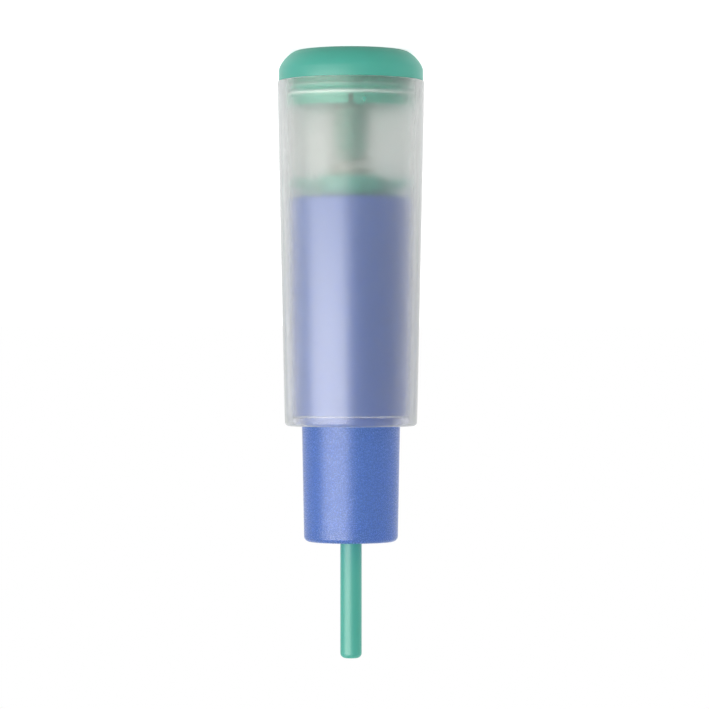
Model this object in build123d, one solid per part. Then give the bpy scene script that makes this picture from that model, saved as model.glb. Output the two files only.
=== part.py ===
from build123d import *
from math import cos, sin, tau
import os

os.makedirs("parts", exist_ok=True)

# Safety lancet, in millimetres. The origin is the centre of the end cap's flat top, on which the
# lancet stands, and +Z runs along its axis to the tip of the twist-off needle cap.

# Outer shell, a tapered tube
shell_rear_z = 3.0
shell_length = 34.45
shell_rear_r = 7.37
shell_front_r = 6.61
shell_rear_wall = 1.17
shell_front_wall = 0.98
lip_thick = 1.0
shell_front_fillet = 0.45
shell_rear_fillet = 0.15
groove_width = 2.0
groove_depth = 0.5

# End cap, pressed into the rear of the shell
cap_step_in = 0.15
cap_shoulder_width = 1.87
cap_shoulder_height = 1.98
cap_shoulder_fullness = 0.37
cap_floor_thick = 1.5
skirt_length = 2.65
skirt_wall = 1.15
skirt_fit = 0.03
skirt_lead_in = 0.45
skirt_neck_length = 0.63
skirt_neck_depth = 0.2
snap_from_rim = 1.45
snap_radius = 0.22
snap_fit = 0.04
skirt_slot_width = 0.45
skirt_slot_length = 0.95
skirt_slots = 2
tab_width = 1.25
tab_length = 0.15
tab_offset = 0.97
tab_rounding = 0.3
post_r = 1.5
post_length = 9.4
post_tip_chamfer = 0.4

# Shield, the sleeve whose nose stands out of the shell
shield_fit = 0.13
shield_mouth_z = 14.65
shield_wall = 1.25
shield_mouth_fillet = 0.4
shield_press = 5.5
nose_fit = 0.11
nose_step = 0.6
nose_draft = 0.24
nose_length = 11.55
nose_wall = 1.15
nose_fillet = 0.55
nose_hole_fit = 0.2
nose_hole_chamfer = 0.15
bore_step_back = 1.15
key_length = 14.4
key_fit = 0.1
seat_ring_wall = 0.6
seat_ring_height = 1.0
seat_ring_fit = 0.15

# Lancet carrier, the moulded holder that the needle is fixed in
carrier_rear_gap = 2.0
carrier_fit = 0.15
core_r = 2.35
hub_step = 1.05
hub_length = 1.8
post_fit = 0.15
post_spare = 0.6
fin_thick = 0.8
fin_gap_from_hub = 0.6
arm_width = 2.2
arm_thick = 0.75
arm_root_from_hub = 8.4
arm_root_height = 1.3
hook_step_in = 0.23
hook_thick = 0.7
hook_from_rear = 0.3
snout_r = 1.3
snout_length = 6.05
snout_neck_r = 0.62
snout_neck_length = 0.45
seat_front_z = 33.4
fire_travel = 7.0
fire_spare = 0.3

# Needle, a steel rod ground to a point, which waits behind the shield's front
needle_r = 0.32
needle_reach = 1.8
needle_set = 12.5
needle_bevel = 1.9

# Needle cap, the stem that is twisted off before use
stem_r = 1.07
stem_out = 11.65
stem_tip_fillet = 0.5
stem_bore_fit = 0.04
stem_bore_spare = 0.5

# Springs
drive_wire = 0.35
drive_mean_r = 2.1
drive_pitch = 1.05
drive_closed_rear = 1.0
drive_closed_front = 2.0
return_wire = 0.35
return_mean_r = 2.0
return_pitch = 1.65
return_closed_rear = 1.0
return_closed_front = 2.0
closed_pitch_share = 1.06
points_per_turn = 8
wire_sides = 5

# Places that follow from the sizes above
shell_front_z = shell_rear_z + shell_length
lip_z = shell_front_z - lip_thick
skirt_end_z = shell_rear_z + skirt_length
nose_front_z = shell_front_z + nose_length
nose_inside_z = nose_front_z - nose_wall
shield_step_z = lip_z - bore_step_back
key_top_z = lip_z - key_length
post_end_z = cap_floor_thick + post_length
post_bore_end_z = post_end_z + shield_press + post_spare
carrier_rear_z = shield_mouth_z - carrier_rear_gap
hub_front_z = carrier_rear_z + hub_length
fin_front_z = shield_step_z - fire_travel - fire_spare
break_z = seat_front_z + snout_length
needle_tip_z = nose_front_z + needle_reach - fire_travel
needle_rear_z = break_z - needle_set
stem_tip_z = nose_front_z + stem_out
nose_hole_r = stem_r + nose_hole_fit
hub_r = core_r + hub_step


def between(z, start_z, start, end_z, end):
    """A size that changes evenly along the axis, at the height z."""
    return start + (end - start) * (z - start_z) / (end_z - start_z)


def shell_r(z):
    return between(z, shell_rear_z, shell_rear_r, shell_front_z, shell_front_r)


def bore_r(z):
    return shell_r(z) - between(z, shell_rear_z, shell_rear_wall, lip_z, shell_front_wall)


def shield_r(z):
    return bore_r(z) - shield_fit


def shield_bore_r(z):
    return shield_r(z) - shield_wall


def nose_r(z):
    root_r = shield_r(lip_z) - nose_step
    return between(z, lip_z, root_r, nose_front_z, root_r - nose_draft)


def turned(*points):
    """A solid turned about the Z axis from the points (radius, height) of its outline."""
    return revolve(Plane.XZ * make_face(Polyline(*points, close=True)), Axis.Z)


def rod(radius, start_z, end_z):
    """A round rod on the axis."""
    return extrude(Plane.XY.offset(start_z) * Circle(radius), end_z - start_z)


def block(start_x, end_x, width, start_z, end_z):
    """A rectangular block centred on the X axis."""
    middle_x = (start_x + end_x) / 2
    face = Plane.XY.offset(start_z) * Pos(middle_x, 0) * Rectangle(end_x - start_x, width)
    return extrude(face, end_z - start_z)


def both_sides(shape):
    """The shape and its copy half a turn round the axis."""
    return shape + shape.rotate(Axis.Z, 180)


def edges_at(shape, radius, z, reach=0.02):
    """The round edges of a turned shape at one radius and height."""
    found = shape.edges().filter_by(GeomType.CIRCLE)
    return found.filter_by(lambda edge: abs(edge.radius - radius) < reach and abs(edge.center().Z - z) < reach)


def make_outer_shell():
    """The frosted tube, with a front lip that stops the shield and two guide grooves in its bore."""
    lip_opening_r = nose_r(lip_z) + nose_fit
    shell = turned(
        (bore_r(shell_rear_z), shell_rear_z),
        (shell_rear_r, shell_rear_z),
        (shell_front_r, shell_front_z),
        (lip_opening_r, shell_front_z),
        (lip_opening_r, lip_z),
        (bore_r(lip_z), lip_z),
    )
    shell = fillet(edges_at(shell, shell_front_r, shell_front_z), shell_front_fillet)
    shell = fillet(edges_at(shell, shell_rear_r, shell_rear_z), shell_rear_fillet)
    groove_end_r = bore_r(key_top_z) + groove_depth
    groove = block(bore_r(lip_z) - groove_depth, groove_end_r, groove_width, skirt_end_z, lip_z)
    snap_z = shell_rear_z + snap_from_rim
    snap = revolve(Plane.XZ * Pos(bore_r(snap_z) - skirt_fit, snap_z) * Circle(snap_radius + snap_fit), Axis.Z)
    return shell - both_sides(groove) - snap


def make_end_cap():
    """The flat-topped cap, with a snap skirt, and a post that guides the drive spring and carrier."""
    cap_r = shell_rear_r - cap_step_in
    skirt_r = bore_r(skirt_end_z) - skirt_fit
    skirt_in_r = skirt_r - skirt_wall
    neck_r = skirt_r - skirt_neck_depth
    neck_end_z = shell_rear_z + skirt_neck_length
    cap_flat_r = cap_r - cap_shoulder_width
    shoulder = Bezier(
        (cap_flat_r, 0),
        (cap_flat_r + cap_shoulder_fullness * cap_shoulder_width, 0),
        (cap_r, cap_shoulder_height * (1 - cap_shoulder_fullness)),
        (cap_r, cap_shoulder_height),
    )
    inside = Polyline(
        (cap_r, cap_shoulder_height),
        (cap_r, shell_rear_z),
        (neck_r, shell_rear_z),
        (neck_r, neck_end_z),
        (skirt_r, neck_end_z),
        (skirt_r, skirt_end_z),
        (skirt_in_r + skirt_lead_in, skirt_end_z),
        (skirt_in_r, skirt_end_z - 2 * skirt_lead_in),
        (skirt_in_r, cap_floor_thick),
        (post_r, cap_floor_thick),
        (post_r, post_end_z - 2 * post_tip_chamfer),
        (post_r - post_tip_chamfer, post_end_z),
        (0, post_end_z),
        (0, 0),
        (cap_flat_r, 0),
    )
    cap = revolve(Plane.XZ * make_face([shoulder, *inside.edges()]), Axis.Z)
    snap_z = shell_rear_z + snap_from_rim
    cap += revolve(Plane.XZ * Pos(skirt_r, snap_z) * Circle(snap_radius), Axis.Z)
    slot_depth = skirt_wall + snap_radius
    slot_z = skirt_end_z - skirt_slot_length
    slot = block(skirt_in_r - snap_radius, skirt_in_r + slot_depth, skirt_slot_width, slot_z, skirt_end_z)
    for number in range(skirt_slots):
        cap -= slot.rotate(Axis.Z, -90 + number * 360 / skirt_slots)
    tab_height = skirt_slot_length + tab_length
    tab_middle_z = skirt_end_z + tab_length - tab_height / 2
    tab_outline = Pos(-tab_offset, tab_middle_z) * RectangleRounded(tab_width, tab_height, tab_rounding)
    tab_ring = rod(skirt_r, slot_z, skirt_end_z + tab_length)
    tab_ring -= rod(skirt_r - skirt_wall / 2, slot_z, skirt_end_z + tab_length)
    return cap + (extrude(Plane.XZ * tab_outline, skirt_r) & tab_ring)


def make_shield():
    """The blue sleeve: a wide guide with two slots and keys, and the narrower nose with its hole."""
    nose_bore_root = nose_r(lip_z) - nose_wall
    nose_bore_tip = nose_r(nose_inside_z) - nose_wall
    shield = turned(
        (shield_bore_r(shield_mouth_z), shield_mouth_z),
        (shield_r(shield_mouth_z), shield_mouth_z),
        (shield_r(lip_z), lip_z),
        (nose_r(lip_z), lip_z),
        (nose_r(nose_front_z), nose_front_z),
        (nose_hole_r + nose_hole_chamfer, nose_front_z),
        (nose_hole_r, nose_front_z - nose_hole_chamfer),
        (nose_hole_r, nose_inside_z),
        (return_seat_r(), nose_inside_z),
        (return_seat_r(), nose_inside_z - seat_ring_height),
        (return_seat_r() + seat_ring_wall, nose_inside_z - seat_ring_height),
        (return_seat_r() + seat_ring_wall, nose_inside_z),
        (nose_bore_tip, nose_inside_z),
        (nose_bore_root, shield_step_z + bore_step_back / 2),
        (shield_bore_r(shield_step_z), shield_step_z),
    )
    shield = fillet(edges_at(shield, nose_r(nose_front_z), nose_front_z), nose_fillet)
    shield = fillet(edges_at(shield, shield_r(shield_mouth_z), shield_mouth_z), shield_mouth_fillet)
    key_r = bore_r(lip_z) + groove_depth - key_fit
    key_width = groove_width - 2 * key_fit
    key = block(shield_r(lip_z) - shield_wall / 2, key_r, key_width, key_top_z, lip_z)
    slot_width = arm_width + 2 * carrier_fit
    slot_in_r = shield_bore_r(key_top_z) - shield_wall
    slot = block(slot_in_r, shield_r(shield_mouth_z) + shield_wall, slot_width, shield_mouth_z, key_top_z)
    return shield + both_sides(key) - both_sides(slot)


def return_seat_r():
    """The inside radius of the ring that centres the return spring's front end."""
    return return_mean_r + return_wire / 2 + seat_ring_fit


def make_lancet_carrier():
    """The needle holder: a hub, four guide fins, two springy hooked arms and a narrow snout."""
    post_bore_r = post_r + post_fit
    carrier = turned(
        (0, post_bore_end_z),
        (post_bore_r, post_bore_end_z),
        (post_bore_r, carrier_rear_z),
        (hub_r, carrier_rear_z),
        (hub_r, hub_front_z),
        (core_r, hub_front_z),
        (core_r, seat_front_z),
        (snout_r, seat_front_z),
        (snout_r, break_z - snout_neck_length),
        (snout_neck_r, break_z),
        (0, break_z),
    )
    fin_r = shield_bore_r(fin_front_z) - carrier_fit
    fin = block(0, fin_r, fin_thick, hub_front_z + fin_gap_from_hub, fin_front_z)
    fin -= rod(core_r - fin_thick / 2, 0, fin_front_z)
    carrier += both_sides(fin.rotate(Axis.Z, 90))
    arm_out_r = shield_bore_r(key_top_z) - carrier_fit
    arm_rear_z = carrier_rear_z + hook_from_rear
    hook_reach = shield_r(shield_mouth_z) - hook_step_in
    arm_front_z = hub_front_z + arm_root_from_hub
    arm = block(arm_out_r - arm_thick, arm_out_r, arm_width, arm_rear_z, arm_front_z)
    hook = block(arm_out_r - arm_thick, hook_reach, arm_width, arm_rear_z, arm_rear_z + hook_thick)
    root = block(core_r - fin_thick / 2, arm_out_r, arm_width, arm_front_z - arm_root_height, arm_front_z)
    guide = block(core_r - fin_thick / 2, fin_r, fin_thick, arm_front_z, fin_front_z)
    hooks_round = rod(hook_reach, carrier_rear_z, arm_rear_z + hook_thick)
    arms_round = rod(arm_out_r, arm_rear_z, arm_front_z)
    side = (hook & hooks_round) + (arm & arms_round) + (root & arms_round) + guide
    needle_bore = rod(needle_r, needle_rear_z, break_z)
    return carrier + both_sides(side) - needle_bore


def make_needle():
    """The steel needle, ground to a slanted point."""
    needle = rod(needle_r, needle_rear_z, needle_tip_z)
    bevel = Polyline(
        (-needle_r, needle_tip_z),
        (needle_r, needle_tip_z - needle_bevel),
        (needle_r, needle_tip_z),
        close=True,
    )
    return needle - extrude(Plane.XZ * make_face(bevel), needle_r, both=True)


def make_needle_cap():
    """The green stem, which seals the needle's tip and breaks off the snout at a thin neck."""
    stem_bore_r = needle_r + stem_bore_fit
    bore_end_z = needle_tip_z + stem_bore_spare
    stem = turned(
        (stem_bore_r, break_z),
        (snout_neck_r, break_z),
        (stem_r, break_z + snout_neck_length),
        (stem_r, stem_tip_z),
        (0, stem_tip_z),
        (0, bore_end_z),
        (stem_bore_r, bore_end_z),
    )
    return fillet(edges_at(stem, stem_r, stem_tip_z), stem_tip_fillet)


def make_spring(mean_r, wire, start_z, end_z, pitch, closed_rear, closed_front):
    """A compression spring between two seats, with closed turns at its ends."""
    closed_pitch = wire * closed_pitch_share
    first_z = start_z + wire / 2
    last_z = end_z - wire / 2
    open_height = last_z - first_z - closed_pitch * (closed_rear + closed_front)
    open_turns = open_height / pitch
    turns = closed_rear + open_turns + closed_front
    steps = round(turns * points_per_turn)
    points = []
    for step in range(steps + 1):
        turn = turns * step / steps
        opened = min(max(turn - closed_rear, 0), open_turns)
        z = first_z + closed_pitch * (turn - opened) + pitch * opened
        points.append((mean_r * cos(tau * turn), mean_r * sin(tau * turn), z))
    path = Spline(*points)
    section = Plane(origin=path @ 0, z_dir=path % 0) * RegularPolygon(wire / 2, wire_sides)
    return sweep(section, path=path, is_frenet=True)


def make_drive_spring():
    return make_spring(
        drive_mean_r,
        drive_wire,
        cap_floor_thick,
        carrier_rear_z,
        drive_pitch,
        drive_closed_rear,
        drive_closed_front,
    )


def make_return_spring():
    return make_spring(
        return_mean_r,
        return_wire,
        seat_front_z,
        nose_inside_z,
        return_pitch,
        return_closed_rear,
        return_closed_front,
    )


export_step(make_outer_shell(), "parts/outer_shell.step")
export_step(make_end_cap(), "parts/end_cap.step")
export_step(make_shield(), "parts/shield.step")
export_step(make_lancet_carrier(), "parts/lancet_carrier.step")
export_step(make_needle(), "parts/needle.step")
export_step(make_needle_cap(), "parts/needle_cap.step")
export_step(make_drive_spring(), "parts/drive_spring.step")
export_step(make_return_spring(), "parts/return_spring.step")
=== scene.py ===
from math import atan2, cos, hypot, pi, radians, sin, tau

import bmesh
import bpy
from mathutils import Matrix, Vector


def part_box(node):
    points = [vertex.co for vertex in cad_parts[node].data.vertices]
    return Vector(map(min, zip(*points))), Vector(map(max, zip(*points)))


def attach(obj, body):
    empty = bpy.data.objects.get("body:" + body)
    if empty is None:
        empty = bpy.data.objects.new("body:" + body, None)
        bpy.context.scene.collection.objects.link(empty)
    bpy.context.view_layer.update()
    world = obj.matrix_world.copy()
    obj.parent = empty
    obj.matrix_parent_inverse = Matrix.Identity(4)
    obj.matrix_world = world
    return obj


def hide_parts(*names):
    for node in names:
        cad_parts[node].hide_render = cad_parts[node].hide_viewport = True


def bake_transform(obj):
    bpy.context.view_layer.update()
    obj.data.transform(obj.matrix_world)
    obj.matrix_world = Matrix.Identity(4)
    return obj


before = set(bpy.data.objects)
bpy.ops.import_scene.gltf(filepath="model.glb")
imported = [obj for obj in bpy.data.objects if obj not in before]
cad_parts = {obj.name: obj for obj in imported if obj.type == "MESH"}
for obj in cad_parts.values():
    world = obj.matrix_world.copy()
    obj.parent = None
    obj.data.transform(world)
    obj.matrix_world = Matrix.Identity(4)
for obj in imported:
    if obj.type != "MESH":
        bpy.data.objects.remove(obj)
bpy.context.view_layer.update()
MM = 0.001


# The outer shell is a tapered tube, injection moulded in polypropylene with no pigment. Its outside is
# satin and its bore frosted, so what touches the bore shows clearly and what lies deeper is blurred. It is
# snapped on the end cap's skirt, and its front lip stops the shield.
def round_corners(corners, arc_steps=6):
    """An outline of (radius, height) points from corners (radius, height, rounding), all in millimetres."""
    points = []
    for number, (x, z, rounding) in enumerate(corners):
        here = Vector((x, z))
        if not rounding:
            points.append(here)
            continue
        back = (Vector(corners[number - 1][:2]) - here).normalized()
        ahead = (Vector(corners[(number + 1) % len(corners)][:2]) - here).normalized()
        half_turn = back.angle(ahead) / 2
        reach = rounding * cos(half_turn) / sin(half_turn)
        middle = here + (back + ahead).normalized() * (rounding / sin(half_turn))
        first = here + back * reach - middle
        last = here + ahead * reach - middle
        sweep = first.angle(last)
        for step in range(arc_steps + 1):
            share = step / arc_steps
            turned = (first * sin((1 - share) * sweep) + last * sin(share * sweep)) / sin(sweep)
            points.append(middle + turned)
    return points


def lathe(name, corners, segments):
    """A closed mesh turned about the Z axis from an outline in millimetres."""
    mesh = bmesh.new()
    rings = []
    for radius, height in round_corners(corners):
        ring = []
        for step in range(segments if radius else 1):
            turn = tau * step / segments
            ring.append(mesh.verts.new(Vector((radius * cos(turn), radius * sin(turn), height)) * MM))
        rings.append(ring)
    for number, ring in enumerate(rings):
        other = rings[(number + 1) % len(rings)]
        if len(ring) == 1 and len(other) == 1:
            continue
        for step in range(segments):
            near = [ring[step % len(ring)], ring[(step + 1) % len(ring)]]
            far = [other[(step + 1) % len(other)], other[step % len(other)]]
            mesh.faces.new(dict.fromkeys(near + far))
    bmesh.ops.recalc_face_normals(mesh, faces=mesh.faces)
    return finished(name, mesh)


def finished(name, mesh):
    """The object that a bmesh becomes, linked to the scene."""
    data = bpy.data.meshes.new(name)
    mesh.to_mesh(data)
    mesh.free()
    piece = bpy.data.objects.new(name, data)
    bpy.context.collection.objects.link(piece)
    return piece


def box_tool(low, high, turn=0.0):
    """A box between two corners in millimetres, turned about the Z axis, to cut or join with."""
    mesh = bmesh.new()
    bmesh.ops.create_cube(mesh, size=1)
    size = Vector(high) - Vector(low)
    centre = (Vector(high) + Vector(low)) / 2
    grown = Matrix.Diagonal((*(size * MM), 1))
    place = Matrix.Rotation(turn, 4, "Z") @ Matrix.Translation(centre * MM) @ grown
    bmesh.ops.transform(mesh, matrix=place, verts=mesh.verts)
    return finished("tool", mesh)


def bake_modifiers(piece):
    """Turns the piece's modifiers into its plain mesh."""
    graph = bpy.context.evaluated_depsgraph_get()
    made = bpy.data.meshes.new_from_object(piece.evaluated_get(graph))
    piece.modifiers.clear()
    piece.data = made


def combine(piece, tool, operation):
    """Cuts the tool out of the piece, or joins it on, and removes the tool."""
    modifier = piece.modifiers.new("combine", "BOOLEAN")
    modifier.object = tool
    modifier.operation = operation
    modifier.solver = "EXACT"
    bake_modifiers(piece)
    bpy.data.objects.remove(tool)


def smooth(piece, angle=radians(32)):
    """Smooth shading, with edges sharper than the angle kept crisp."""
    piece.data.shade_smooth()
    piece.data.set_sharp_from_angle(angle=angle)


def dress(piece, *materials):
    """Gives the piece its materials, in place of any that it had."""
    piece.data.materials.clear()
    for made in materials:
        piece.data.materials.append(made)


def linear(code):
    """A linear colour from sRGB hex."""
    channels = [int(code[place:place + 2], 16) / 255 for place in (1, 3, 5)]
    return [c / 12.92 if c <= 0.04045 else ((c + 0.055) / 1.055) ** 2.4 for c in channels] + [1.0]


def add(tree, kind, links=None, values=None, **settings):
    """Adds one node with its settings, its values by socket and its links by socket."""
    node = tree.nodes.new(kind)
    for key, value in settings.items():
        setattr(node, key, value)
    for key, value in (values or {}).items():
        node.inputs[key].default_value = value
    for key, source in (links or {}).items():
        tree.links.new(source, node.inputs[key])
    return node


def material(name):
    """A new material with an empty tree."""
    made = bpy.data.materials.new(name)
    made.use_nodes = True
    made.node_tree.nodes.clear()
    return made, made.node_tree


def lit_through(tree, shade, tint):
    """The shade, made clear to lamp light, which it dims to the tint, so what lies inside is lit."""
    ray = add(tree, "ShaderNodeLightPath")
    clear = add(tree, "ShaderNodeBsdfTransparent", values={"Color": linear(tint)})
    both = add(tree, "ShaderNodeMixShader",
               {0: ray.outputs["Is Shadow Ray"], 1: shade.outputs["BSDF"], 2: clear.outputs["BSDF"]})
    return both.outputs["Shader"]


shell_low, shell_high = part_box("outer_shell")
shell_rear, shell_front = shell_low.z / MM, shell_high.z / MM
shell_rear_r, shell_front_r = 7.37, 6.61
shell_rear_wall, shell_front_wall = 1.17, 0.98
shell_rear_rounding, shell_front_rounding = 0.15, 0.45
edge_rounding, fine_rounding, root_rounding = 0.08, 0.05, 0.1
lip_thick, lip_reach, lip_rounding = 1.0, 0.62, 0.12
shell_lip = shell_front - lip_thick
groove_width, groove_depth = 2.0, 0.5
bead_from_rim, bead_groove_half, bead_groove_depth = 1.45, 0.45, 0.1
bead_groove_edge, bead_groove_floor = 0.2, 0.3
bead_height = shell_rear + bead_from_rim
skirt_end = 5.65
keys_start = 22.05


def shell_r(z):
    """The shell's outside radius at a height, in millimetres."""
    return shell_rear_r + (shell_front_r - shell_rear_r) * (z - shell_rear) / (shell_front - shell_rear)


def bore_r(z):
    """The shell's inside radius at a height, in millimetres."""
    share = (z - shell_rear) / (shell_lip - shell_rear)
    return shell_r(z) - shell_rear_wall - (shell_front_wall - shell_rear_wall) * share


outer_shell = lathe("outer_shell_frosted", [
    (bore_r(shell_rear), shell_rear, edge_rounding),
    (shell_rear_r, shell_rear, shell_rear_rounding),
    (shell_front_r, shell_front, shell_front_rounding),
    (bore_r(shell_lip) - lip_reach, shell_front, lip_rounding),
    (bore_r(shell_lip) - lip_reach, shell_lip, edge_rounding),
    (bore_r(shell_lip), shell_lip, root_rounding),
    (bore_r(bead_height), bead_height + bead_groove_half, bead_groove_edge),
    (bore_r(bead_height) + bead_groove_depth, bead_height, bead_groove_floor),
    (bore_r(bead_height), bead_height - bead_groove_half, bead_groove_edge),
], segments=192)
groove_floor = bore_r(keys_start) + groove_depth
for side in (0, pi):
    low = (bore_r(shell_lip) - groove_depth, -groove_width / 2, skirt_end)
    combine(outer_shell, box_tool(low, (groove_floor, groove_width / 2, shell_lip), side), "DIFFERENCE")
smooth(outer_shell)

# Unpigmented polypropylene, satin from a fine spark-eroded mould: clear seen straight on and milky at a
# slant, so the tube's sides close up, and lamps mirror in it with soft edges. At a slant its colour is also
# painted a darker grey, which is painted shade down the tube's sides. The grain is drawn at 0.12 mm, coarse
# enough to show. Each surface lets lamp light through, a little greyed by the wall.
plastic_ior = 1.49
wall_tint = "#DCDDDC"
mould_grain = 0.12 * MM
satin_clouds_per_mm = 0.25
satin, tree = material("polypropylene_clear_satin")
place = add(tree, "ShaderNodeTexCoord").outputs["Object"]
grain = add(tree, "ShaderNodeTexNoise", {"Vector": place}, {"Scale": 1 / mould_grain, "Detail": 3.0})
cloud = add(tree, "ShaderNodeTexNoise", {"Vector": place}, {"Scale": satin_clouds_per_mm / MM, "Detail": 2.0})
rough = add(tree, "ShaderNodeMapRange", {"Value": cloud.outputs["Fac"]}, {"To Min": 0.22, "To Max": 0.27})
speckle = add(tree, "ShaderNodeMix", {"Factor": grain.outputs["Fac"]},
              {"A": linear("#E6E7E5"), "B": linear("#FFFFFF")}, data_type="RGBA")
bump = add(tree, "ShaderNodeBump", {"Height": grain.outputs["Fac"]},
           {"Strength": 0.05, "Distance": 0.01 * MM})
slant = add(tree, "ShaderNodeLayerWeight", values={"Blend": 0.5})
slant_haze_and_shade = add(tree, "ShaderNodeMapRange", {"Value": slant.outputs["Facing"]},
           {"From Min": 0.4, "From Max": 0.75})
# Painted shade: where the surface is seen at a slant, the grained colour turns to a darker grey.
grain_and_side_shade = add(tree, "ShaderNodeMix", {"Factor": slant_haze_and_shade.outputs["Result"], "A": speckle.outputs["Result"]},
           {"B": linear("#CFD3D1")}, data_type="RGBA")
clear = add(tree, "ShaderNodeMapRange", {"Value": slant_haze_and_shade.outputs["Result"]}, {"To Min": 0.98, "To Max": 0.12})
shade = add(tree, "ShaderNodeBsdfPrincipled",
            {"Base Color": grain_and_side_shade.outputs["Result"], "Roughness": rough.outputs["Result"],
             "Transmission Weight": clear.outputs["Result"], "Normal": bump.outputs["Normal"]},
            {"IOR": plastic_ior})
add(tree, "ShaderNodeOutputMaterial", {"Surface": lit_through(tree, shade, wall_tint)})

# The bore of the same moulding is coarsely frosted: it blurs what shows through it, so the spring behind is a
# soft shape, while the skirt and the shield, which lie close to it, keep their edges. Met from inside the
# tube it mostly scatters, so the far wall is a pale ground behind what stands in the chamber.
frost_clouds_per_mm = 0.6
frost, tree = material("polypropylene_frosted_bore")
place = add(tree, "ShaderNodeTexCoord").outputs["Object"]
cloud = add(tree, "ShaderNodeTexNoise", {"Vector": place}, {"Scale": frost_clouds_per_mm / MM, "Detail": 2.0})
rough = add(tree, "ShaderNodeMapRange", {"Value": cloud.outputs["Fac"]}, {"To Min": 0.4, "To Max": 0.46})
skin = add(tree, "ShaderNodeNewGeometry")
clear = add(tree, "ShaderNodeMapRange", {"Value": skin.outputs["Backfacing"]},
            {"To Min": 0.35, "To Max": 0.98})
shade = add(tree, "ShaderNodeBsdfPrincipled",
            {"Roughness": rough.outputs["Result"], "Transmission Weight": clear.outputs["Result"]},
            {"Base Color": linear("#F8F9F7"), "IOR": plastic_ior})
add(tree, "ShaderNodeOutputMaterial", {"Surface": lit_through(tree, shade, wall_tint)})
dress(outer_shell, satin, frost)
outer_skin = 0.2
for face in outer_shell.data.polygons:
    height = face.center.z / MM
    deep = shell_r(height) - hypot(face.center.x, face.center.y) / MM > outer_skin
    between_rims = shell_rear + shell_rear_rounding < height < shell_front - shell_front_rounding
    face.material_index = int(deep and between_rims)
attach(outer_shell, "root")
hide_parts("outer_shell")


# The end cap closes the rear and is pressed into the shell by a skirt with a snap bead. It is moulded in
# opaque green polypropylene and left satin. Its post guides the drive spring and the carrier.
cap_step_in = 0.15
cap_r = shell_rear_r - cap_step_in
cap_shoulder_width, cap_shoulder_height, shoulder_fullness = 1.87, 1.98, 0.37
cap_floor = 1.5
skirt_fit, skirt_wall, skirt_lead_in = 0.03, 1.15, 0.45
skirt_r = bore_r(skirt_end) - skirt_fit
neck_depth, neck_length = 0.2, 0.63
neck_r, neck_end = skirt_r - neck_depth, shell_rear + neck_length
bead_half, bead_out, bead_rounding = 0.18, 0.11, 0.12
post_r, post_end, post_chamfer, post_rounding = 1.5, 10.9, 0.4, 0.2
post_tip_rounding, cap_corner_rounding = 0.15, 0.3
shoulder_steps = 14
shoulder = []
for step in range(shoulder_steps + 1):
    share = step / shoulder_steps
    rest = 1 - share
    across = 3 * rest * rest * share * shoulder_fullness + 3 * rest * share * share + share ** 3
    up = 3 * rest * share * share * (1 - shoulder_fullness) + share ** 3
    shoulder.append((cap_r - cap_shoulder_width * (1 - across), cap_shoulder_height * up, 0))
end_cap = lathe("end_cap_green", [
    (0, 0, 0),
    *shoulder,
    (cap_r, shell_rear, edge_rounding),
    (neck_r, shell_rear, 0),
    (neck_r, neck_end, fine_rounding),
    (skirt_r, neck_end, edge_rounding),
    (skirt_r, bead_height - bead_half, fine_rounding),
    (skirt_r + bead_out, bead_height, bead_rounding),
    (skirt_r, bead_height + bead_half, fine_rounding),
    (skirt_r, skirt_end, edge_rounding),
    (skirt_r - skirt_wall + skirt_lead_in, skirt_end, edge_rounding),
    (skirt_r - skirt_wall, skirt_end - 2 * skirt_lead_in, root_rounding),
    (skirt_r - skirt_wall, cap_floor, cap_corner_rounding),
    (post_r, cap_floor, post_rounding),
    (post_r, post_end - 2 * post_chamfer, post_rounding),
    (post_r - post_chamfer, post_end, post_tip_rounding),
    (0, post_end, 0),
], segments=192)
slot_width, slot_length = 0.45, 0.95
slot_start = skirt_end - slot_length
past_inside, past_outside, past_end = 0.2, 0.5, 0.1
for side in (-pi / 2, pi / 2):
    low = (skirt_r - skirt_wall - past_inside, -slot_width / 2, slot_start)
    high = (skirt_r + past_outside, slot_width / 2, skirt_end + past_end)
    combine(end_cap, box_tool(low, high, side), "DIFFERENCE")

# The tab beside the front slot is a flat tongue with a round end.
tab_width, tab_offset, tab_out, tab_set_in, tab_rounding = 1.25, 0.97, 0.15, 0.05, 0.45
tab = box_tool((skirt_r - skirt_wall, -tab_offset - tab_width / 2, slot_start),
               (skirt_r - tab_set_in, -tab_offset + tab_width / 2, skirt_end + tab_out), -pi / 2)
bevel = tab.modifiers.new("round_end", "BEVEL")
bevel.width = tab_rounding * MM
bevel.segments = 6
bevel.limit_method = "NONE"
bake_modifiers(tab)
combine(end_cap, tab, "UNION")
smooth(end_cap)

# Pigmented polypropylene: satin, with light passing a little below the surface. The mould's spark texture
# breaks the highlight into specks of about 0.15 mm, and the colour drifts a little over a few millimetres.
speck = 0.15 * MM
drifts_per_mm = 0.3
green, tree = material("polypropylene_green_satin")
place = add(tree, "ShaderNodeTexCoord").outputs["Object"]
grain = add(tree, "ShaderNodeTexNoise", {"Vector": place}, {"Scale": 1 / speck, "Detail": 4.0})
drift = add(tree, "ShaderNodeTexNoise", {"Vector": place}, {"Scale": drifts_per_mm / MM, "Detail": 2.0})
tint = add(tree, "ShaderNodeMix", {"Factor": drift.outputs["Fac"]},
           {"A": linear("#4CBDA7"), "B": linear("#56C3AE")}, data_type="RGBA")
rough = add(tree, "ShaderNodeMapRange", {"Value": grain.outputs["Fac"]}, {"To Min": 0.32, "To Max": 0.5})
bump = add(tree, "ShaderNodeBump", {"Height": grain.outputs["Fac"]},
           {"Strength": 0.4, "Distance": 0.02 * MM})
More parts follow.
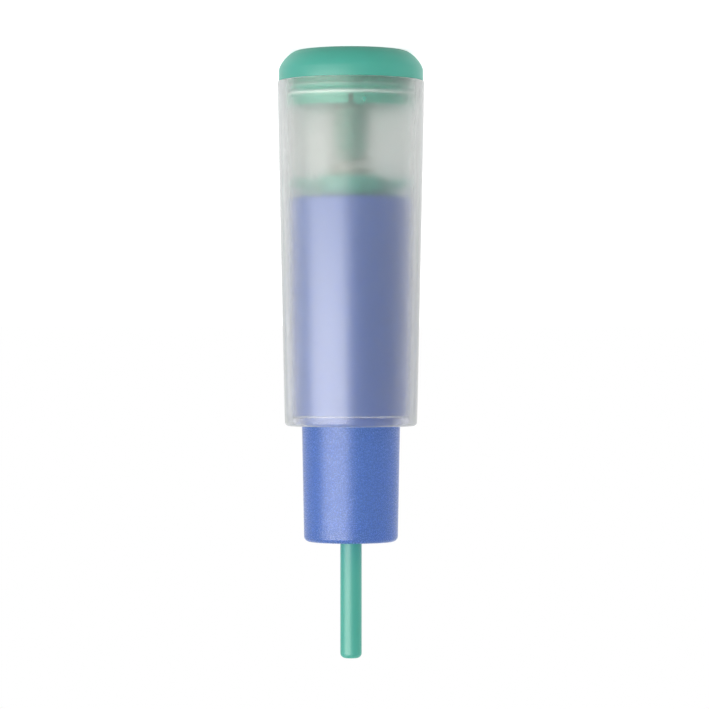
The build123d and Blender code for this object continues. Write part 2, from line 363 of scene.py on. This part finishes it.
shade = add(tree, "ShaderNodeBsdfPrincipled",
            {"Base Color": tint.outputs["Result"], "Roughness": rough.outputs["Result"],
             "Normal": bump.outputs["Normal"]},
            {"IOR": plastic_ior, "Subsurface Weight": 0.1, "Subsurface Scale": 0.5 * MM})
add(tree, "ShaderNodeOutputMaterial", {"Surface": shade.outputs["BSDF"]})

# On the skirt's bead and its neck's edge the same plastic is painted pale: a painted highlight standing in
# for the glint on the bead and the edge, which gives the two bright lines that show through the shell.
glint_specks_per_mm = 0.8
painted_glint, tree = material("polypropylene_green_painted_glint")
place = add(tree, "ShaderNodeTexCoord").outputs["Object"]
glint_specks = add(tree, "ShaderNodeTexNoise", {"Vector": place}, {"Scale": glint_specks_per_mm / MM, "Detail": 3.0})
# The painted highlight is a pale green-white, flecked with white.
tint = add(tree, "ShaderNodeMix", {"Factor": glint_specks.outputs["Fac"]},
           {"A": linear("#B7E6DB"), "B": linear("#FFFFFF")}, data_type="RGBA")
shade = add(tree, "ShaderNodeBsdfPrincipled", {"Base Color": tint.outputs["Result"]},
            {"Roughness": 0.3, "IOR": plastic_ior})
add(tree, "ShaderNodeOutputMaterial", {"Surface": shade.outputs["BSDF"]})
dress(end_cap, green, painted_glint)
skirt_skin, glint_edge_half = 0.08, 0.07
# The painted highlight goes on the outer faces of the bead and of the neck's edge.
for face in end_cap.data.polygons:
    height = face.center.z / MM
    outside = hypot(face.center.x, face.center.y) / MM > skirt_r - skirt_skin
    on_bead = abs(height - bead_height) < bead_half
    on_edge = abs(height - neck_end) < glint_edge_half
    face.material_index = int(outside and (on_bead or on_edge))
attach(end_cap, "root")
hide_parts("end_cap")


# Fine crush ribs stand round the skirt's neck, close under the cap. They are moulded with the cap and bite
# into the shell's mouth, so the shell doesn't turn.
rib_count, rib_sides, rib_r, rib_out = 120, 10, 0.09, 0.04


def rib_tree():
    """Geometry nodes that stand half-round ribs in a circle, sizes in metres."""
    made = bpy.data.node_groups.new("ribs_round_a_neck", "GeometryNodeTree")
    made.interface.new_socket("Ribs", in_out="INPUT", socket_type="NodeSocketInt")
    for name in ("Neck Radius", "Middle Height", "Rib Radius", "Rib Length"):
        made.interface.new_socket(name, in_out="INPUT", socket_type="NodeSocketFloat")
    made.interface.new_socket("Plastic", in_out="INPUT", socket_type="NodeSocketMaterial")
    made.interface.new_socket("Geometry", in_out="OUTPUT", socket_type="NodeSocketGeometry")
    sizes = made.nodes.new("NodeGroupInput").outputs
    ring = add(made, "GeometryNodeMeshCircle", {"Vertices": sizes["Ribs"], "Radius": sizes["Neck Radius"]})
    rise = add(made, "ShaderNodeCombineXYZ", {"Z": sizes["Middle Height"]})
    raised = add(made, "GeometryNodeTransform",
                 {"Geometry": ring.outputs["Mesh"], "Translation": rise.outputs["Vector"]})
    rib = add(made, "GeometryNodeMeshCylinder", {"Radius": sizes["Rib Radius"], "Depth": sizes["Rib Length"]},
              {"Vertices": rib_sides})
    ribs = add(made, "GeometryNodeInstanceOnPoints",
               {"Points": raised.outputs["Geometry"], "Instance": rib.outputs["Mesh"]})
    whole = add(made, "GeometryNodeRealizeInstances", {"Geometry": ribs.outputs["Instances"]})
    finish = add(made, "GeometryNodeSetMaterial",
                 {"Geometry": whole.outputs["Geometry"], "Material": sizes["Plastic"]})
    add(made, "NodeGroupOutput", {"Geometry": finish.outputs["Geometry"]})
    return made


def grow(name, nodes, sizes):
    """The plain mesh that a geometry tree makes from its sizes by name."""
    piece = bpy.data.objects.new(name, bpy.data.meshes.new(name))
    bpy.context.collection.objects.link(piece)
    grower = piece.modifiers.new("grower", "NODES")
    grower.node_group = nodes
    for socket in nodes.interface.items_tree:
        if socket.in_out == "INPUT":
            grower[socket.identifier] = sizes[socket.name]
    bake_modifiers(piece)
    return piece


ribs = grow("skirt_ribs_green", rib_tree(), {
    "Ribs": rib_count,
    "Neck Radius": (neck_r + rib_out) * MM,
    "Middle Height": (shell_rear + neck_length / 2) * MM,
    "Rib Radius": rib_r * MM,
    "Rib Length": neck_length * MM,
    "Plastic": green,
})
smooth(ribs)
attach(ribs, "root")


# The shield is the sleeve that slides in the shell. Its nose stands out and hides the needle, its keys run
# in the shell's grooves and stop it on the lip. It is moulded in translucent blue polypropylene.
shield_low, shield_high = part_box("shield")
shield_mouth, nose_front = shield_low.z / MM, shield_high.z / MM
shield_fit, shield_wall = 0.13, 1.25
mouth_rounding, mouth_inside_rounding = 0.4, 0.15
nose_step, nose_draft, nose_wall, nose_rounding = 0.6, 0.24, 1.15, 0.55
nose_root_r = bore_r(shell_lip) - shield_fit - nose_step
nose_tip_r = nose_root_r - nose_draft
nose_inside = nose_front - nose_wall
nose_hole_r, nose_hole_rounding = 1.27, 0.15
bore_step_back, step_depth, bore_rounding = 1.15, 0.575, 0.2
bore_step = shell_lip - bore_step_back
seat_r, seat_ring_wall, seat_ring_height = 2.325, 0.6, 1.0


def shield_r(z):
    """The sleeve's outside radius at a height, in millimetres."""
    return bore_r(z) - shield_fit


def nose_r(z):
    """The nose's radius at a height, in millimetres."""
    return nose_root_r + (nose_tip_r - nose_root_r) * (z - shell_lip) / (nose_front - shell_lip)


shield = lathe("shield_blue", [
    (shield_r(shield_mouth) - shield_wall, shield_mouth, mouth_inside_rounding),
    (shield_r(shield_mouth), shield_mouth, mouth_rounding),
    (shield_r(shell_lip), shell_lip, root_rounding),
    (nose_root_r, shell_lip, fine_rounding),
    (nose_tip_r, nose_front, nose_rounding),
    (nose_hole_r, nose_front, nose_hole_rounding),
    (nose_hole_r, nose_inside, edge_rounding),
    (seat_r, nose_inside, 0),
    (seat_r, nose_inside - seat_ring_height, root_rounding),
    (seat_r + seat_ring_wall, nose_inside - seat_ring_height, root_rounding),
    (seat_r + seat_ring_wall, nose_inside, fine_rounding),
    (nose_r(nose_inside) - nose_wall, nose_inside, bore_rounding),
    (nose_root_r - nose_wall, bore_step + step_depth, bore_rounding),
    (shield_r(bore_step) - shield_wall, bore_step, bore_rounding),
], segments=192)
key_fit = 0.1
key_width, key_r = groove_width - 2 * key_fit, bore_r(shell_lip) + groove_depth - key_fit
arm_slot_width, arm_slot_in, arm_slot_out = 2.5, 3.2, 7.0
for side in (0, pi):
    low = (shield_r(shell_lip) - shield_wall / 2, -key_width / 2, keys_start)
    combine(shield, box_tool(low, (key_r, key_width / 2, shell_lip), side), "UNION")
    low = (arm_slot_in, -arm_slot_width / 2, shield_mouth - past_end)
    combine(shield, box_tool(low, (arm_slot_out, arm_slot_width / 2, keys_start), side), "DIFFERENCE")
smooth(shield)

# Blue polypropylene, lightly pigmented: about a third of the light passes and is blued by the wall's depth,
# the rest is scattered near the surface, and the finely sparked skin glitters. Its grain is drawn at 0.1 mm.
spark = 0.1 * MM
blue, tree = material("polypropylene_blue_translucent")
place = add(tree, "ShaderNodeTexCoord").outputs["Object"]
grain = add(tree, "ShaderNodeTexNoise", {"Vector": place}, {"Scale": 1 / spark, "Detail": 3.0})
rough = add(tree, "ShaderNodeMapRange", {"Value": grain.outputs["Fac"]}, {"To Min": 0.22, "To Max": 0.32})
bump = add(tree, "ShaderNodeBump", {"Height": grain.outputs["Fac"]},
           {"Strength": 0.9, "Distance": 0.02 * MM})
glitter = add(tree, "ShaderNodeMix", {"Factor": grain.outputs["Fac"]},
              {"A": linear("#3A70D2"), "B": linear("#7CACF0")}, data_type="RGBA")
shade = add(tree, "ShaderNodeBsdfPrincipled",
            {"Base Color": glitter.outputs["Result"], "Roughness": rough.outputs["Result"],
             "Normal": bump.outputs["Normal"]},
            {"IOR": plastic_ior, "Transmission Weight": 0.35})
depth = add(tree, "ShaderNodeVolumeAbsorption", values={"Color": linear("#84BCF3"), "Density": 520.0})
add(tree, "ShaderNodeOutputMaterial",
    {"Surface": lit_through(tree, shade, "#DBE5F8"), "Volume": depth.outputs["Volume"]})
dress(shield, blue)
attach(shield, "shield")
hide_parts("shield")


# The lancet carrier holds the needle and is thrown forwards by the drive spring. It is moulded in the same
# green polypropylene, with two sprung hooks that rest over the shield's mouth.
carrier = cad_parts["lancet_carrier"]
dress(carrier, green)


# The needle is a drawn stainless steel rod, ground to a slanted point and moulded into the carrier.
needle_low, needle_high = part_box("needle")
needle_r, needle_bevel, needle_rounding = 0.32, 1.9, 0.03
needle_start, needle_tip = needle_low.z / MM, needle_high.z / MM
needle = lathe("needle_steel", [
    (0, needle_start, 0),
    (needle_r, needle_start, needle_rounding),
    (needle_r, needle_tip, 0),
    (0, needle_tip, 0),
], segments=48)
wheel_half, wheel_high = 2, 4
wheel = box_tool((-wheel_half, -wheel_half, 0), (wheel_half, wheel_half, wheel_high))
tilt = Matrix.Rotation(atan2(needle_bevel, 2 * needle_r), 4, "Y")
wheel.data.transform(Matrix.Translation((0, 0, (needle_tip - needle_bevel / 2) * MM)) @ tilt)
combine(needle, wheel, "DIFFERENCE")
smooth(needle)

# Stainless steel, drawn smooth: bright, with its gleam a little uneven.
patches_per_mm = 8
steel, tree = material("stainless_steel_drawn")
place = add(tree, "ShaderNodeTexCoord").outputs["Object"]
patches = add(tree, "ShaderNodeTexNoise", {"Vector": place}, {"Scale": patches_per_mm / MM, "Detail": 2.0})
rough = add(tree, "ShaderNodeMapRange", {"Value": patches.outputs["Fac"]}, {"To Min": 0.18, "To Max": 0.32})
shade = add(tree, "ShaderNodeBsdfPrincipled", {"Roughness": rough.outputs["Result"]},
            {"Base Color": linear("#C9CACC"), "Metallic": 1.0})
add(tree, "ShaderNodeOutputMaterial", {"Surface": shade.outputs["BSDF"]})
dress(needle, steel)
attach(needle, "carrier")
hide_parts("needle")


# The needle cap is the green stem. It seals the needle's tip and breaks off the carrier at a thin neck
# when it is twisted, so it is moulded with the carrier, in the same polypropylene.
stem_low, stem_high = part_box("needle_cap")
stem_start, stem_end = stem_low.z / MM, stem_high.z / MM
stem_r, stem_bore_r, stem_bore_end, stem_rounding = 1.07, 0.36, 44.3, 0.5
break_r, break_length, break_rounding = 0.62, 0.45, 0.04
needle_cap = lathe("needle_cap_green", [
    (stem_bore_r, stem_start, 0),
    (break_r, stem_start, break_rounding),
    (stem_r, stem_start + break_length, root_rounding),
    (stem_r, stem_end, stem_rounding),
    (0, stem_end, 0),
    (0, stem_bore_end, 0),
    (stem_bore_r, stem_bore_end, root_rounding),
], segments=96)
smooth(needle_cap)
dress(needle_cap, green)
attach(needle_cap, "needle_cap")
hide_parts("needle_cap")


# The two springs are coiled from hard-drawn wire, with closed turns at their ends. The drive spring pushes
# the carrier, and the return spring in the nose draws the needle back.
steps_a_turn, wire_sides = 56, 14


def coil_tree():
    """Geometry nodes that wind a wire, sizes in metres, with closed turns before and after the open ones."""
    made = bpy.data.node_groups.new("compression_spring", "GeometryNodeTree")
    for name in ("Mean Radius", "Wire Radius", "First Height", "Turns",
                 "Closed Pitch", "Opens At", "Closes At", "Open Rise"):
        made.interface.new_socket(name, in_out="INPUT", socket_type="NodeSocketFloat")
    made.interface.new_socket("Wire", in_out="INPUT", socket_type="NodeSocketMaterial")
    made.interface.new_socket("Geometry", in_out="OUTPUT", socket_type="NodeSocketGeometry")
    sizes = made.nodes.new("NodeGroupInput").outputs
    steps = add(made, "ShaderNodeMath", {0: sizes["Turns"]}, {1: steps_a_turn}, operation="MULTIPLY")
    line = add(made, "GeometryNodeCurvePrimitiveLine")
    many = add(made, "GeometryNodeResampleCurve",
               {"Curve": line.outputs["Curve"], "Count": steps.outputs["Value"]})
    along = add(made, "GeometryNodeSplineParameter")
    turn = add(made, "ShaderNodeMath", {0: along.outputs["Factor"], 1: sizes["Turns"]}, operation="MULTIPLY")
    angle = add(made, "ShaderNodeMath", {0: turn.outputs["Value"]}, {1: tau}, operation="MULTIPLY")
    closed = add(made, "ShaderNodeMath",
                 {0: turn.outputs["Value"], 1: sizes["Closed Pitch"], 2: sizes["First Height"]},
                 operation="MULTIPLY_ADD")
    opened = add(made, "ShaderNodeMapRange",
                 {"Value": turn.outputs["Value"], "From Min": sizes["Opens At"],
                  "From Max": sizes["Closes At"], "To Max": sizes["Open Rise"]})
    height = add(made, "ShaderNodeMath", {0: closed.outputs["Value"], 1: opened.outputs["Result"]},
                 operation="ADD")
    arm = add(made, "ShaderNodeCombineXYZ", {"X": sizes["Mean Radius"], "Z": height.outputs["Value"]})
    place = add(made, "ShaderNodeVectorRotate",
                {"Vector": arm.outputs["Vector"], "Angle": angle.outputs["Value"]}, rotation_type="Z_AXIS")
    wound = add(made, "GeometryNodeSetPosition",
                {"Geometry": many.outputs["Curve"], "Position": place.outputs["Vector"]})
    section = add(made, "GeometryNodeCurvePrimitiveCircle", {"Radius": sizes["Wire Radius"]},
                  {"Resolution": wire_sides})
    wire = add(made, "GeometryNodeCurveToMesh",
               {"Curve": wound.outputs["Geometry"], "Profile Curve": section.outputs["Curve"]},
               {"Fill Caps": True})
    whole = add(made, "GeometryNodeRealizeInstances", {"Geometry": wire.outputs["Mesh"]})
    finish = add(made, "GeometryNodeSetMaterial",
                 {"Geometry": whole.outputs["Geometry"], "Material": sizes["Wire"]})
    add(made, "NodeGroupOutput", {"Geometry": finish.outputs["Geometry"]})
    return made


# Hard-drawn spring wire with its dull drawing film: pale, faintly warm metal whose gleam is broad and soft.
film_spots_per_mm = 3
wire_steel, tree = material("spring_wire_drawn")
place = add(tree, "ShaderNodeTexCoord").outputs["Object"]
film = add(tree, "ShaderNodeTexNoise", {"Vector": place}, {"Scale": film_spots_per_mm / MM, "Detail": 3.0})
rough = add(tree, "ShaderNodeMapRange", {"Value": film.outputs["Fac"]}, {"To Min": 0.28, "To Max": 0.38})
shade = add(tree, "ShaderNodeBsdfPrincipled", {"Roughness": rough.outputs["Result"]},
            {"Base Color": linear("#D6D2CC"), "Metallic": 1.0})
add(tree, "ShaderNodeOutputMaterial", {"Surface": shade.outputs["BSDF"]})

spring_nodes = coil_tree()
wire_r, closed_share, wire_crease = 0.175, 1.06, radians(60)
closed_pitch = 2 * wire_r * closed_share
closed_rear, closed_front = 1.0, 2.0
drive_coil_r, drive_pitch = 2.1, 1.05
return_coil_r, return_pitch = 2.0, 1.65
springs = {}
for name, node, mean_r, pitch in (("drive_spring_wire", "drive_spring", drive_coil_r, drive_pitch),
                                  ("return_spring_wire", "return_spring", return_coil_r, return_pitch)):
    low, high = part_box(node)
    wound_height = (high.z - low.z) / MM - 2 * wire_r
    open_turns = (wound_height - closed_pitch * (closed_rear + closed_front)) / pitch
    spring = grow(name, spring_nodes, {
        "Mean Radius": mean_r * MM,
        "Wire Radius": wire_r * MM,
        "First Height": low.z + wire_r * MM,
        "Turns": closed_rear + open_turns + closed_front,
        "Closed Pitch": closed_pitch * MM,
        "Opens At": closed_rear,
        "Closes At": closed_rear + open_turns,
        "Open Rise": (pitch - closed_pitch) * open_turns * MM,
        "Wire": wire_steel,
    })
    smooth(spring, wire_crease)
    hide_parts(node)
    springs[node] = (spring, (0, 0, low.z), (0, 0, high.z))
spring, rear_seat, front_seat = springs["drive_spring"]
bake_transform(spring)
spring, rear_seat, front_seat = springs["return_spring"]
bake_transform(spring)


# The stage is a pale matt floor under the end cap, with a white world behind. Camera, glossy and
# transmitted rays see both as white, and the floor keeps the lancet's soft shadow. The world itself lights
# the lancet only about half as brightly, so that the lamps still shape it.
def seen_straight(made):
    """One for rays that show the background: from the camera, off a gloss or through the plastic."""
    path = add(made, "ShaderNodeLightPath")
    first = add(made, "ShaderNodeMath",
                {0: path.outputs["Is Camera Ray"], 1: path.outputs["Is Glossy Ray"]}, operation="MAXIMUM")
    any_of = add(made, "ShaderNodeMath",
                 {0: first.outputs["Value"], 1: path.outputs["Is Transmission Ray"]}, operation="MAXIMUM")
    return any_of.outputs["Value"]


world = bpy.data.worlds.new("studio")
bpy.context.scene.world = world
world.use_nodes = True
tree = world.node_tree
tree.nodes.clear()
strength = add(tree, "ShaderNodeMapRange", {"Value": seen_straight(tree)}, {"To Min": 0.52, "To Max": 1.0})
sky = add(tree, "ShaderNodeBackground", {"Strength": strength.outputs["Result"]},
          {"Color": linear("#FFFFFF")})
add(tree, "ShaderNodeOutputWorld", {"Surface": sky.outputs["Background"]})

floor_half = 3000 * MM
floor_mesh = bmesh.new()
bmesh.ops.create_grid(floor_mesh, x_segments=1, y_segments=1, size=floor_half)
floor = finished("floor", floor_mesh)
paper, tree = material("matt_white_paper")
matt = add(tree, "ShaderNodeBsdfDiffuse", values={"Color": linear("#EEEEEE")})
glow = add(tree, "ShaderNodeEmission", values={"Color": linear("#FFFFFF"), "Strength": 0.78})
lit = add(tree, "ShaderNodeAddShader", {0: glow.outputs["Emission"], 1: matt.outputs["BSDF"]})
sheet = add(tree, "ShaderNodeMixShader",
            {"Fac": seen_straight(tree), 1: matt.outputs["BSDF"], 2: lit.outputs["Shader"]})
add(tree, "ShaderNodeOutputMaterial", {"Surface": sheet.outputs["Shader"]})
dress(floor, paper)


# Four softboxes light the lancet. Key, fill and top light its surfaces and aren't mirrored in them. The sheen
# stands where the key does and is only mirrored, as the long soft highlight, with a strength of its own.
def softbox(name, place, aim, width, height, power, colour, gloss_only=False):
    """An area light in millimetres and watts. It lights surfaces or, gloss only, is just mirrored in them."""
    lamp = bpy.data.lights.new(name, "AREA")
    lamp.shape = "RECTANGLE"
    lamp.size = width * MM
    lamp.size_y = height * MM
    lamp.energy = power
    lamp.color = linear(colour)[:3]
    holder = bpy.data.objects.new(name, lamp)
    bpy.context.collection.objects.link(holder)
    holder.location = Vector(place) * MM
    holder.rotation_euler = (Vector(aim) - Vector(place)).to_track_quat("-Z", "Y").to_euler()
    holder.visible_camera = False
    holder.visible_transmission = False
    holder.visible_glossy = gloss_only
    holder.visible_diffuse = not gloss_only


softbox("key", place=(185, -236, 61), aim=(0, 0, 61), width=400, height=120,
        power=0.28, colour="#F2F7FF")
softbox("sheen", place=(185, -236, 151), aim=(0, 0, 151), width=400, height=300,
        power=2.6, colour="#FFFAF2", gloss_only=True)
softbox("fill", place=(-260, 120, 120), aim=(0, 0, 30), width=200, height=200,
        power=0.1, colour="#FFFFFF")
softbox("top", place=(40, 60, 330), aim=(0, 0, 30), width=220, height=220,
        power=0.2, colour="#FFFFFF")

# The camera stands level, where the photo was taken from, and is turned upside down, because the photo
# shows the lancet with its end cap at the top.
image_pixels = 709
pixel_width = 0.1
camera_distance = 310
image_middle_height = 30.31
lancet_left_of_middle = 0.35
lens = bpy.data.cameras.new("camera")
lens.sensor_width = 36
lens.lens = lens.sensor_width * camera_distance / (image_pixels * pixel_width)
lens.clip_start, lens.clip_end = 0.01, 20
camera = bpy.data.objects.new("camera", lens)
bpy.context.collection.objects.link(camera)
upside_down = Matrix.Rotation(radians(90), 4, "X") @ Matrix.Rotation(pi, 4, "Z")
camera.rotation_euler = upside_down.to_euler()
camera.location = Vector((-lancet_left_of_middle, -camera_distance, image_middle_height)) * MM
bpy.context.scene.camera = camera
bpy.context.scene.view_settings.view_transform = "Standard"
